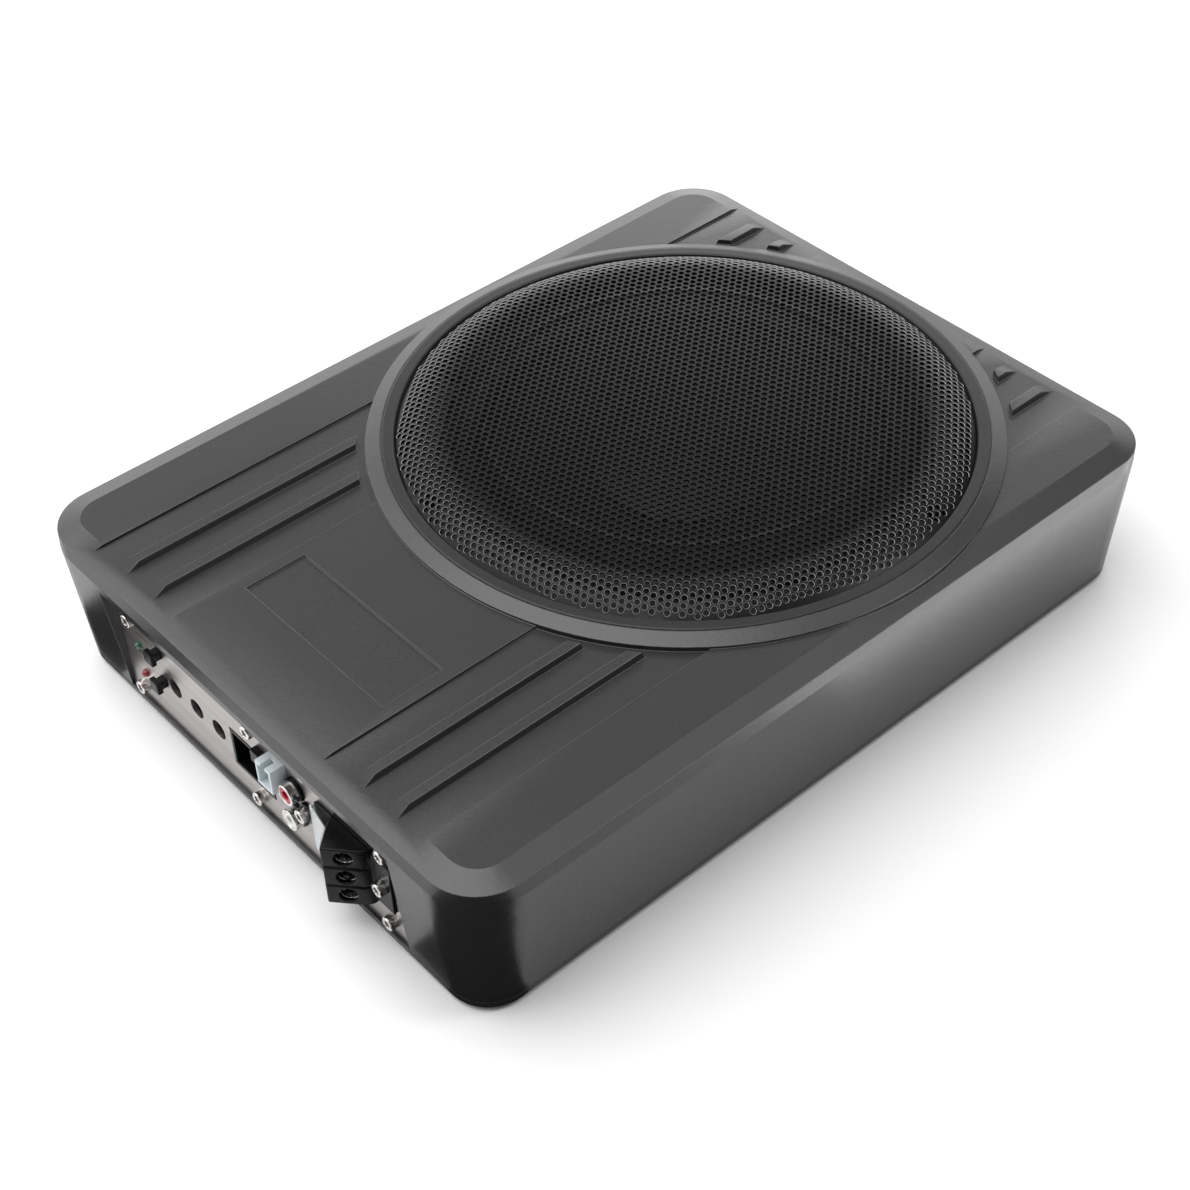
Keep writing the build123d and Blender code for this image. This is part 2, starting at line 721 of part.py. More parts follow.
def make_terminal_cover():
    """Clear snap-on cover over the root of the clamps."""
    thick = 1.0
    gap = 0.4
    start = 5.5
    outer = [on_face(-gap - thick, start, 0), on_face(-gap - thick, 11.5, 0)]
    inner = [on_face(-gap, 11.0, 0), on_face(-gap, start, 0)]
    wall_x = panel_x - flange_thickness
    heel_y = -35.8
    points = [(outer[0].X, outer[0].Y), (outer[1].X, outer[1].Y), (wall_x - 1.6, heel_y), (wall_x, heel_y),
              (wall_x, heel_y - thick), (wall_x - 1.1, heel_y - thick),
              (inner[0].X, inner[0].Y), (inner[1].X, inner[1].Y)]
    return prism_z(points, terminal_low_z + 3, terminal_high_z - 3)


def make_dial(y):
    """Recessed control with a screwdriver slot and a fluted edge."""
    face_x, back_x = panel_x + dial_recess, panel_x + dial_recess + dial_thickness
    knob = rod_x(dial_radius, face_x, back_x, y, dial_z)
    shaft = rod_x(2.0, back_x, control_board_x - 0.2, y, dial_z)
    slot = block(panel_x, face_x + 1.0, y - 0.5, y + 0.5, dial_z - 2.9, dial_z + 2.9)
    return knob + shaft - slot


def make_potentiometers():
    def pot(y):
        can_x = panel_x + dial_recess + dial_thickness + 0.6
        can = block(can_x, control_board_x, y - 3.9, y + 3.9, dial_z - 4.6, dial_z + 4.6)
        return can - rod_x(2.05, panel_back_x, control_board_x + 1, y, dial_z)
    return group(pot(y) for y in dials.values())


def make_button(y, z):
    """Square push cap on a narrower stem."""
    front_x, neck_x = panel_x - button_proud, panel_x - button_proud + button_cap_thickness
    shoulder_x = panel_back_x + 2.5
    cap = block(front_x, neck_x, y - button_half, y + button_half, z - button_half, z + button_half)
    cap = fillet(cap.faces().sort_by(Axis.X)[0].edges(), 0.5)
    half = button_stem / 2
    stem = block(neck_x, shoulder_x, y - half, y + half, z - half, z + half)
    rod = block(shoulder_x, shoulder_x + 2.0, y - 1.5, y + 1.5, z - 1.5, z + 1.5)
    return cap + stem + rod


def make_button_switches():
    shoulder_x = panel_back_x + 2.5 + button_travel + 0.2

    def switch(y, z):
        can = block(panel_back_x + 0.6, control_board_x, y - 3.3, y + 3.3, z - 4.4, z + 4.4)
        half = button_stem / 2 + 0.15
        can -= block(panel_back_x - 1, shoulder_x, y - half, y + half, z - half, z + half)
        return can - block(panel_back_x, shoulder_x + 2.0, y - 1.7, y + 1.7, z - 1.7, z + 1.7)
    return group(switch(y, z) for y, z in buttons.values())


def make_led(y, z):
    dome_x, rim_x = panel_x - 0.4, panel_back_x + 1.6
    lens = rod_x(led_radius, dome_x, rim_x, y, z)
    dome = (Pos(dome_x, y, z) * Sphere(led_radius)) & block(dome_x - 2, dome_x, y - 2, y + 2, z - 2, z + 2)
    shape = lens + dome + rod_x(led_radius + 0.4, rim_x - 1.0, rim_x, y, z)
    for side in (-0.9, 0.9):
        shape += block(rim_x, control_board_x, y + side - 0.25, y + side + 0.25, z - 0.25, z + 0.25)
    return shape


def make_rca_block():
    """Black moulded body with two collars through the panel."""
    body = block(panel_back_x, control_board_x, rca_y - 4.4, rca_y + 4.4, rca_z[0] - 6.2, rca_z[1] + 6.2)
    for z in rca_z:
        body += rod_x(rca_collar_radius, panel_x - rca_collar_proud, panel_back_x + 1, rca_y, z)
    for z in rca_z:
        body -= rod_x(rca_neck_radius, panel_x - 5, control_board_x - 2, rca_y, z)
    return body


def make_rca_shell(z):
    """Plated outer contact: a thin tube the plug's collar slides over."""
    tip_x = panel_x - rca_shell_proud
    shell = rod_x(rca_shell_radius, tip_x, panel_x - rca_collar_proud, rca_y, z)
    shell += rod_x(rca_neck_radius, tip_x, control_board_x - 2, rca_y, z)
    return shell - rod_x(rca_shell_radius - rca_shell_wall, tip_x - 1, control_board_x - 3, rca_y, z)


def make_rca_insert(z):
    """Coloured insulator inside the shell, with the socket for the centre pin."""
    tip_x = panel_x - rca_shell_proud + 0.2
    insert = rod_x(rca_shell_radius - rca_shell_wall, tip_x, control_board_x - 3, rca_y, z)
    return insert - rod_x(rca_pin_radius, tip_x - 1, tip_x + rca_pin_depth, rca_y, z)


def socket_box(spec, front_x, back_x, wall, floor):
    """Open-fronted box around a plug space."""
    y0, y1, z0, z1 = spec
    fit = 0.1
    box = block(front_x, back_x, y0 + fit, y1 - fit, z0 + fit, z1 - fit)
    return box - block(front_x - 1, back_x - floor, y0 + wall, y1 - wall, z0 + wall, z1 - wall)


def make_speaker_socket():
    y0, y1, z0, z1 = speaker_socket
    wall, front_x = 1.6, panel_x - 2.8
    shell = socket_box(speaker_socket, panel_x - 0.2, control_board_x, wall, wall)
    middle = (y0 + y1) / 2
    key = block(panel_x + 1.0, control_board_x - wall, middle - 1.5, middle + 1.5, z1 - 3.0, z1 - wall)
    latch = block(front_x, panel_x, y0 + 0.4, y0 + 7.4, z1 + 0.2, z1 + 4.2)
    bridge = block(front_x, panel_x - 0.2, y0 + 0.4, y0 + 7.4, z1 - 1.5, z1 + 0.2)
    return shell + key + latch + bridge


def make_speaker_pins():
    y0, y1, z0, z1 = speaker_socket
    pins = []
    for row in range(2):
        for column in range(4):
            y = y0 + 4.6 + column * (y1 - y0 - 9.2) / 3
            z = z0 + 5.4 + row * (z1 - z0 - 10.8)
            pins.append(block(panel_x + 5.0, control_board_x - 1.6, y - 0.5, y + 0.5, z - 0.5, z + 0.5))
    return pins


def make_remote_socket():
    shell = socket_box(remote_socket, panel_x - remote_proud, control_board_x, 1.3, 2.0)
    y0, y1, z0, z1 = remote_socket
    return shell - block(panel_x - 6, panel_x - 1.5, (y0 + y1) / 2 - 1.2, (y0 + y1) / 2 + 1.2, z1 - 2, z1 + 1)


def make_remote_pins():
    y0, y1, z0, z1 = remote_socket
    pins = []
    for fy in (0.33, 0.67):
        for fz in (0.33, 0.67):
            y, z = y0 + fy * (y1 - y0), z0 + fz * (z1 - z0)
            pins.append(block(panel_x + 0.4, control_board_x - 2.0, y - 0.4, y + 0.4, z - 0.4, z + 0.4))
    return pins


# ---------------------------------------------------------------- electronics
def make_circuit_board():
    board = block(board_x0, board_x1, -board_half_width, board_half_width, board_z, board_top_z)
    for x, y in standoff_spots:
        board -= cyl(1.6, board_z - 1, board_top_z + 1, x, y)
    return board


def make_control_board():
    x0, x1 = control_board_x, control_board_x + board_thickness
    return block(x0, x1, -30.0, 80.0, board_top_z + 1.5, 46.0) - block(x0 - 1, x1 + 1, -6, 6, 38, 47)


def make_board_link():
    """Angled pin header that joins the control board to the main board."""
    x0 = control_board_x + board_thickness
    upright = block(x0, x0 + 2.4, 20, 60, board_top_z + 2.5, board_top_z + 5.0)
    return upright + block(x0 + 2.4, x0 + 8.4, 20, 60, board_top_z, board_top_z + 5.0)


def make_standoffs():
    return group(tube(3.0, 1.25, base_top_z, board_z, x, y) for x, y in standoff_spots)


def make_board_screws():
    def screw(x, y):
        return cyl(2.6, board_top_z, board_top_z + 1.8, x, y) + cyl(1.2, board_z - 4, board_top_z, x, y)
    return group(screw(x, y) for x, y in standoff_spots)


def make_capacitors():
    cans = []
    for y in (-72, -46):
        for x in (board_x0 + 24, board_x0 + 48):
            can = cyl(9.0, board_top_z, board_top_z + 26, x, y)
            can = fillet(can.edges().sort_by(Axis.Z)[-1], 1.2)
            cans.append(can - tube(9.5, 8.6, board_top_z + 2.4, board_top_z + 3.4, x, y))
    return group(cans)


def make_choke():
    """Toroidal choke lying on the board."""
    return Pos(board_x0 + 36, -10, board_top_z + 9) * Torus(13, 7.5)


def make_transistors():
    """Power transistors standing against the heat spreader."""
    pieces = []
    for k in range(4):
        x = board_x0 + 12 + k * 16
        pieces.append(block(x - 5, x + 5, spreader_y - 4.5, spreader_y, board_top_z + 3, board_top_z + 18))
    return group(pieces)


def make_heat_spreader():
    """Aluminium angle that carries the transistors' heat up to the housing."""
    x0, x1 = board_x0 + 4, board_x0 + 70
    upright = block(x0, x1, spreader_y, spreader_y + 4.0, board_top_z, inside_top_z)
    return upright + block(x0, x1, spreader_y + 4.0, spreader_y + 20.0, inside_top_z - 4.0, inside_top_z)


def make_transistor_clamp():
    y = spreader_y - 4.5
    return block(board_x0 + 5, board_x0 + 67, y - 1.6, y, board_top_z + 8, board_top_z + 15)


def make_signal_chips():
    pieces = []
    for x, y, length, width in ((20, 30, 20, 7), (20, 48, 10, 6), (44, 40, 14, 14), (60, 14, 8, 6)):
        x0 = board_x0 + x
        pieces.append(block(x0, x0 + width, y, y + length, board_top_z, board_top_z + 2.2))
    return group(pieces)


def make_speaker_wires():
    """Two insulated wires from the board to the driver's tags."""
    wires = []
    start_x = board_x1 - 14
    tag_x = ring_x - 66 - 12
    for y in (-7, 7):
        corners = [(start_x, y, board_top_z), (start_x, y, 32.0), (tag_x, y, 44.0), (tag_x, y, 38.8)]
        path = FilletPolyline(*corners, radius=2.4)
        wires.append(sweep(Plane(origin=path @ 0, z_dir=path % 0) * Circle(1.1), path=path))
    return group(wires)


# ---------------------------------------------------------------- assembly
def build():
    save("top_housing", make_top_housing())
    save("base_plate", make_base_plate())
    save("base_gasket", gasket_ring(base_top_z, base_top_z + gasket_height))
    save("base_screws", make_base_screws())
    save("rubber_feet", make_rubber_feet())
    save("bracket_nuts", make_bracket_nuts())
    save("grille", make_grille())
    save("grille_retainer_ring", make_retainer_ring())

    save("basket", make_basket())
    save("driver_gasket", make_driver_gasket())
    save("driver_screws", make_driver_screws())
    save("surround", make_surround())
    save("cone", make_cone())
    save("dust_cap", make_dust_cap())
    save("spider", make_spider())
    save("voice_coil_former", tube(former_outer, former_inner, coil_z, former_top_z, ring_x))
    save("voice_coil", tube(coil_outer, former_outer, coil_z, coil_z + coil_height, ring_x))
    save("motor_top_plate", tube(plate_radius, gap_radius, top_plate_z, motor_top_z, ring_x))
    save("magnet", tube(magnet_radius, magnet_bore_radius, magnet_z, top_plate_z, ring_x))
    save("t_yoke", make_yoke())
    strip, tags = make_driver_terminals()
    save("driver_terminal_strip", strip)
    save("driver_tags", tags)

    save("panel_plate", make_panel_plate())
    save("panel_screws", make_panel_screws())
    save("panel_blocks", make_panel_blocks())
    save("power_terminal_body", make_power_terminal_body())
    save("terminal_clamps", make_terminal_clamps())
    for number, z in enumerate(cell_z, start=1):
        save(f"clamp_screw_{number}", make_clamp_screw(z))
    save("terminal_screws", make_terminal_screws())
    save("terminal_cover", make_terminal_cover())
    for name, y in dials.items():
        save(name, make_dial(y))
    save("potentiometers", make_potentiometers())
    for name, (y, z) in buttons.items():
        save(name, make_button(y, z))
    save("button_switches", make_button_switches())
    for name, (y, z) in leds.items():
        save(name, make_led(y, z))
    save("rca_block", make_rca_block())
    save("rca_shells", group(make_rca_shell(z) for z in rca_z))
    save("rca_insert_white", make_rca_insert(rca_z[0]))
    save("rca_insert_red", make_rca_insert(rca_z[1]))
    save("speaker_socket", make_speaker_socket())
    save("remote_socket", make_remote_socket())
    save("socket_pins", group(make_speaker_pins() + make_remote_pins()))

    save("circuit_board", make_circuit_board())
    save("control_board", make_control_board())
    save("board_link", make_board_link())
    save("standoffs", make_standoffs())
    save("board_screws", make_board_screws())
    save("filter_capacitors", make_capacitors())
    save("choke", make_choke())
    save("power_transistors", make_transistors())
    save("heat_spreader", make_heat_spreader())
    save("transistor_clamp", make_transistor_clamp())
    save("signal_chips", make_signal_chips())
    save("speaker_wires", make_speaker_wires())


build()
os.makedirs("parts", exist_ok=True)
for name, shape in parts.items():
    export_step(shape, f"parts/{name}.step")
print(len(parts), "parts written")
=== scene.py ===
import json
import math

import bmesh
import bpy
from mathutils import Matrix, Vector

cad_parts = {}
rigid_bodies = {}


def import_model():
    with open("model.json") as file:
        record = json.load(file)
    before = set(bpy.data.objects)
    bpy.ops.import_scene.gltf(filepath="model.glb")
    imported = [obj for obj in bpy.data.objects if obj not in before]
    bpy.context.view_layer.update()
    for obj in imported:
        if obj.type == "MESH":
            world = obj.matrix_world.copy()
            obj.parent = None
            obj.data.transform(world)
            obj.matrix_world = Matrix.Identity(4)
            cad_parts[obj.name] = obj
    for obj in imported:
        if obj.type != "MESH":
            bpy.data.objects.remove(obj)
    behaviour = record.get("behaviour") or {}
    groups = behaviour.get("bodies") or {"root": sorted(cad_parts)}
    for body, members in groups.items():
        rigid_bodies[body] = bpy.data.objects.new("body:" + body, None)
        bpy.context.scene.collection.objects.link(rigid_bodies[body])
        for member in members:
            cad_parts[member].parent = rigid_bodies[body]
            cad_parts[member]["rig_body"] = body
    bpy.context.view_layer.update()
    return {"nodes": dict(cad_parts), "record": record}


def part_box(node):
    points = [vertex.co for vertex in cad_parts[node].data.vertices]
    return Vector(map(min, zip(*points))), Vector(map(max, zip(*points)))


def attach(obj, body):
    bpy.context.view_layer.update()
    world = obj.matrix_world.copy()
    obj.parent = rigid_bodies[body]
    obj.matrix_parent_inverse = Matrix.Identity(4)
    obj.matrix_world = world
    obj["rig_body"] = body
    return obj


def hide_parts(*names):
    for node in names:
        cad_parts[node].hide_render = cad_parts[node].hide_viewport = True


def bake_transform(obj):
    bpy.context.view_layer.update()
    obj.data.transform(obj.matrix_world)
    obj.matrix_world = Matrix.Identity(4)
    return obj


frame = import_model()

# Powered car subwoofer: finishes, detail meshes, floor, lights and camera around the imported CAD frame.
MM = 0.001
WELD = 0.002 * MM                        # points closer than this are one
ROUNDED_TURN = math.radians(28)          # edges that turn by more are rounded over
LINE_TURN = math.radians(11)             # edges that turn by more, up to that, stay as fine lines
ROUND_SEGMENTS = 2
GLOSS_SPREAD = 0.05                      # roughness of a finish varies by this, each way

# Perforated grille
CAD_SHEET = 1.0 * MM                     # thickness of the plain sheet that it stands for
PERFORATED_SHEET = 0.9 * MM
DOME_EDGE = (92.0 * MM, 72.3 * MM)       # radius and height where the dome turns down
KNEE = (102.2 * MM, 70.3 * MM)           # the turned-down part goes through here
KNEE_EDGE = 107.8 * MM
RIM_EDGE = 107.6 * MM                    # inner radius of the flat rim, just under the knee
DOME_STEPS = 180
KNEE_STEPS = 24
RIM_SIDES = 256
RIDGE_RADIUS = 76.0 * MM                 # pressed circle
RIDGE_HEIGHT = 0.16 * MM
RIDGE_WIDTH = 1.3 * MM
HOLE_PITCH = 3.03 * MM
HOLE_RADIUS = 1.14 * MM
HOLE_LIP = 0.13 * MM
LIP_DEPTH = 0.2                          # as a share of the sheet
HOLE_SIDES = 10
HOLE_CLEARANCE = 0.25 * MM               # from a hole to the edge of the perforated part
LATTICE_TURN = math.radians(-19.4)
CELL_OVERHANG = 0.98                     # cells this share of a side past the edge are left out
CORNER_MATCH = 0.02 * MM                 # corners of neighbouring cells closer than this are one
RIM_HIGHLIGHT_RADII = (88 * MM, 99 * MM)          # the rims of the holes get a painted highlight between these

# Socket-head cap screws
SHANK_RADIUS = 1.5 * MM
HEAD_HEIGHT = 3.0 * MM
SOCKET_APOTHEM = 1.25 * MM
KNURL_DEPTH = 0.14 * MM
SCREW_POINTS = 72

# Stage
FLOOR_HALF = 6.0
CARD_HEIGHT = 0.5 * MM

nodes = frame["nodes"]


# ---------------------------------------------------------------- places read from the frame
def middle(node):
    low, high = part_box(node)
    return (low + high) / 2


def bodies_of(node):
    """Boxes (low, high) of the separate solids in a CAD node."""
    form = bmesh.new()
    form.from_mesh(nodes[node].data)
    bmesh.ops.remove_doubles(form, verts=form.verts, dist=WELD)
    left, boxes = set(form.verts), []
    while left:
        reached = [left.pop()]
        low, high = reached[0].co.copy(), reached[0].co.copy()
        while reached:
            for edge in reached.pop().link_edges:
                for vert in edge.verts:
                    if vert in left:
                        left.remove(vert)
                        reached.append(vert)
                        low = Vector(map(min, low, vert.co))
                        high = Vector(map(max, high, vert.co))
        boxes.append((low, high))
    form.free()
    return sorted(boxes, key=lambda box: tuple(box[0]))


def half_width(node):
    low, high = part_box(node)
    return (high.x - low.x) / 2


driver_axis = middle("grille_retainer_ring")


# ---------------------------------------------------------------- materials
def shader_of(name):
    """New material with its node tree and its main shader."""
    material = bpy.data.materials.new(name)
    material.use_nodes = True
    tree = material.node_tree
    return material, tree, tree.nodes["Principled BSDF"]


def coordinates(tree, stretch=(1, 1, 1)):
    """Object coordinates in metres, stretched along the axes."""
    place = tree.nodes.new("ShaderNodeTexCoord")
    mapping = tree.nodes.new("ShaderNodeMapping")
    mapping.inputs["Scale"].default_value = stretch
    tree.links.new(place.outputs["Object"], mapping.inputs["Vector"])
    return mapping.outputs["Vector"]


def noise(tree, size, detail=2.0, stretch=(1, 1, 1)):
    """Noise whose features are about size metres across."""
    texture = tree.nodes.new("ShaderNodeTexNoise")
    texture.inputs["Scale"].default_value = 1 / size
    texture.inputs["Detail"].default_value = detail
    tree.links.new(coordinates(tree, stretch), texture.inputs["Vector"])
    return texture.outputs["Fac"]


def mapped(tree, value, low, high, start=0.3, end=0.7):
    """A value's range start to end, spread over low to high."""
    node = tree.nodes.new("ShaderNodeMapRange")
    node.inputs["From Min"].default_value = start
    node.inputs["From Max"].default_value = end
    node.inputs["To Min"].default_value = low
    node.inputs["To Max"].default_value = high
    tree.links.new(value, node.inputs["Value"])
    return node.outputs["Result"]


def shaded(colour, factor):
    """Opaque colour, made lighter or darker by a factor."""
    return tuple(min(c * factor, 1.0) for c in colour) + (1.0,)


def blended(tree, value, low, high):
    """Colour between two, by a value."""
    mix = tree.nodes.new("ShaderNodeMix")
    mix.data_type = "RGBA"
    mix.inputs["A"].default_value = low
    mix.inputs["B"].default_value = high
    tree.links.new(value, mix.inputs["Factor"])
    return mix.outputs["Result"]


def bumped(tree, shader, layers):
    """Bump layers of (height value, depth in metres), one over the other."""
    previous = None
    for value, depth in layers:
        bump = tree.nodes.new("ShaderNodeBump")
        bump.inputs["Strength"].default_value = 1.0
        bump.inputs["Distance"].default_value = depth
        tree.links.new(value, bump.inputs["Height"])
        if previous is not None:
            tree.links.new(previous, bump.inputs["Normal"])
        previous = bump.outputs["Normal"]
    tree.links.new(previous, shader.inputs["Normal"])


def vary(tree, shader, colour, factors, colour_value, roughness, roughness_value):
    """Colour, between two factors of itself, and roughness, in a range, that each follow a value."""
    low, high = (shaded(colour, factor) for factor in factors)
    tree.links.new(blended(tree, mapped(tree, colour_value, 0, 1), low, high), shader.inputs["Base Color"])
    tree.links.new(mapped(tree, roughness_value, *roughness), shader.inputs["Roughness"])


def finish_material(name, colour, roughness, metallic=0.0, grain=0.0004, depth=0.00001, variation=0.08,
                    stretch=(1, 1, 1), coat=0.0, specular=0.5):
    """Solid finish with a fine grain, slow colour variation and uneven gloss. Sizes are in metres."""
    material, tree, shader = shader_of(name)
    shader.inputs["Metallic"].default_value = metallic
    shader.inputs["Coat Weight"].default_value = coat
    shader.inputs["Specular IOR Level"].default_value = specular
    slow = noise(tree, 0.02, 4.0, stretch)
    fine = noise(tree, grain, 2.0, stretch)
    gloss = (roughness - GLOSS_SPREAD, roughness + GLOSS_SPREAD)
    vary(tree, shader, colour, (1 - variation, 1 + variation), slow, gloss, fine)
    bumped(tree, shader, [(fine, depth)])
    return material


def powder_coat(name, colour, roughness, specular=0.6):
    """Satin powder coat: orange peel under a fine grain."""
    material, tree, shader = shader_of(name)
    shader.inputs["Specular IOR Level"].default_value = specular
    peel = noise(tree, 0.002, 2.0)
    fine = noise(tree, 0.0005, 3.0)
    slow = noise(tree, 0.03, 3.0)
    gloss = (roughness - GLOSS_SPREAD, roughness + GLOSS_SPREAD)
    vary(tree, shader, colour, (0.94, 1.06), slow, gloss, fine)
    bumped(tree, shader, [(peel, 0.000045), (fine, 0.00003)])
    return material


def brushed_metal(name, colour, roughness, stretch):
    """Metal brushed along the axis with the small stretch."""
    material, tree, shader = shader_of(name)
    shader.inputs["Metallic"].default_value = 1.0
    lines = noise(tree, 0.0004, 3.0, stretch)
    streaks = noise(tree, 0.004, 3.0, stretch)
    vary(tree, shader, colour, (0.86, 1.08), streaks, (roughness - 0.08, roughness + 0.1), lines)
    bumped(tree, shader, [(lines, 0.000012)])
    return material


def rims_painted_highlight(name, axis, start, end):
    """Coated steel for the rims of holes, with a painted highlight that grows from one radius round an axis
    to the next.
    """
    material, tree, shader = shader_of(name)
    shader.inputs["Specular IOR Level"].default_value = 0.4
    place = tree.nodes.new("ShaderNodeTexCoord")
    from_axis = tree.nodes.new("ShaderNodeMapping")
    from_axis.inputs["Location"].default_value = (-axis.x, -axis.y, 0)
    from_axis.inputs["Scale"].default_value = (1, 1, 0)
    tree.links.new(place.outputs["Object"], from_axis.inputs["Vector"])
    radius = tree.nodes.new("ShaderNodeVectorMath")
    radius.operation = "LENGTH"
    tree.links.new(from_axis.outputs["Vector"], radius.inputs[0])
    # the rims go from the dark coat to a painted highlight between the two radii
    painted_highlight = mapped(tree, radius.outputs["Value"], 0, 1, start, end)
    coat, highlight_colour = (0.012, 0.012, 0.012, 1), (0.36, 0.36, 0.36, 1)
    tree.links.new(blended(tree, painted_highlight, coat, highlight_colour), shader.inputs["Base Color"])
    fine = noise(tree, 0.0004)
    tree.links.new(mapped(tree, fine, 0.28, 0.4), shader.inputs["Roughness"])
    bumped(tree, shader, [(fine, 0.000003)])
    return material


def clear_plastic(name, colour):
    """Transparent moulded plastic with faint flow marks."""
    material, tree, shader = shader_of(name)
    shader.inputs["Transmission Weight"].default_value = 0.55
    shader.inputs["IOR"].default_value = 1.49
    flow = noise(tree, 0.003, 2.0)
    vary(tree, shader, colour, (0.96, 1.0), flow, (0.048, 0.128), flow)
    bumped(tree, shader, [(flow, 0.00004)])
    return material


paints = {
    "housing_coat": powder_coat("housing_powder_coat", (0.016, 0.016, 0.017), 0.32),
    "ring_coat": powder_coat("ring_powder_coat", (0.012, 0.012, 0.013), 0.38, specular=0.32),
    "base_coat": powder_coat("base_powder_coat", (0.016, 0.016, 0.017), 0.42),
    "basket_coat": finish_material("basket_paint", (0.02, 0.02, 0.02), 0.45),
    "gasket_foam": finish_material("gasket_foam", (0.02, 0.02, 0.02), 0.9, grain=0.0006, depth=0.0001),
    "black_steel": finish_material("black_coated_steel", (0.004, 0.004, 0.0045), 0.34,
                                   grain=0.0003, depth=0.000003, specular=0.17),
    "rubber": finish_material("black_rubber", (0.012, 0.012, 0.012), 0.66, grain=0.0005, depth=0.00002),
    "brass": finish_material("brass", (0.72, 0.52, 0.24), 0.28, metallic=1.0, depth=0.000004),
    "zinc_steel": finish_material("zinc_plated_steel", (0.62, 0.61, 0.58), 0.3, metallic=1.0, depth=0.000004),
    "cone_paper": finish_material("pressed_paper", (0.012, 0.012, 0.012), 0.8, grain=0.0012, depth=0.0001),
    "dust_cap_plastic": finish_material("dust_cap_plastic", (0.012, 0.012, 0.012), 0.55),
    "spider_cloth": finish_material("spider_cloth", (0.55, 0.36, 0.14), 0.8, grain=0.0008, depth=0.0001),
    "former_film": finish_material("amber_film", (0.4, 0.18, 0.04), 0.25),
    "copper": finish_material("copper_winding", (0.62, 0.27, 0.12), 0.3, metallic=1.0,
                              grain=0.0006, depth=0.00006, stretch=(0.05, 0.05, 1)),
    "ferrite": finish_material("ferrite", (0.05, 0.05, 0.055), 0.6, grain=0.0008, depth=0.00003),
    "black_plastic": finish_material("black_moulded_plastic", (0.003, 0.003, 0.003), 0.3,
                                     grain=0.0003, specular=0.2),
    "matte_black_plastic": finish_material("matte_black_plastic", (0.002, 0.002, 0.002), 0.6,
                                           grain=0.0003, specular=0.05),
    "panel_aluminium": brushed_metal("panel_brushed_aluminium", (0.47, 0.44, 0.43), 0.34, (1, 0.02, 1)),
    "bare_aluminium": brushed_metal("mill_aluminium", (0.72, 0.72, 0.73), 0.35, (0.05, 1, 1)),
    "black_nickel": finish_material("nickel_plate", (0.72, 0.70, 0.68), 0.2, metallic=1.0, depth=0.000003),
    "clear_plastic": clear_plastic("clear_cover", (0.93, 0.95, 0.96)),
    "pot_metal": finish_material("tin_plate", (0.5, 0.5, 0.5), 0.35, metallic=1.0),
    "green_lens": finish_material("green_lens", (0.02, 0.10, 0.05), 0.15, coat=0.6, depth=0.000002),
    "red_lens": finish_material("red_lens", (0.22, 0.012, 0.012), 0.15, coat=0.6, depth=0.000002),
    "bright_plate": finish_material("bright_plate", (0.75, 0.74, 0.72), 0.12, metallic=1.0, depth=0.000003),
    "white_plastic": finish_material("white_plastic", (0.78, 0.77, 0.74), 0.3,
                                     depth=0.000005, variation=0.03),
    "red_plastic": finish_material("red_plastic", (0.42, 0.008, 0.03), 0.3, depth=0.000005),
    "natural_nylon": finish_material("natural_nylon", (0.62, 0.68, 0.71), 0.3, variation=0.04),
    "circuit_laminate": finish_material("solder_mask", (0.01, 0.09, 0.035), 0.35, depth=0.000005),
    "capacitor_sleeve": finish_material("capacitor_sleeve", (0.012, 0.012, 0.035), 0.25),
    "choke_wire": finish_material("choke_winding", (0.5, 0.2, 0.06), 0.3, metallic=1.0,
                                  grain=0.0012, depth=0.0002),
    "wire_insulation": finish_material("wire_insulation", (0.25, 0.012, 0.012), 0.4),
}
# lighter paint on the housing's rounded edges: a painted highlight along them
edge_highlight_coat = powder_coat("painted_edge_highlight", (0.055, 0.055, 0.056), 0.3)

node_slots = {row["node"]: row["material_slot"] for row in frame["record"]["subparts"]}
for node, target in nodes.items():
    target.data.materials.clear()
    target.data.materials.append(paints[node_slots[node]])


# ---------------------------------------------------------------- mesh helpers
def add_piece(form, name, node, bends=False, crease=None):
    """Piece from a bmesh that stands for a CAD node, and moves with its body unless bends leaves it without
    one.
    Its edges past crease degrees are sharp, if that is given."""
    mesh = bpy.data.meshes.new(name)
    form.to_mesh(mesh)
    form.free()
    mesh.shade_smooth()
    if crease:
        mesh.set_sharp_from_angle(angle=math.radians(crease))
    mesh.materials.append(paints[node_slots[node]])
    piece = bpy.data.objects.new(name, mesh)
    bpy.context.scene.collection.objects.link(piece)
    if not bends:
        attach(piece, nodes[node]["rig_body"])
    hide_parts(node)
    return piece


def even_shading(piece):
    """Flat faces stay flat next to rounded edges."""
    level = piece.modifiers.new("even_shading", "WEIGHTED_NORMAL")
    level.keep_sharp = True


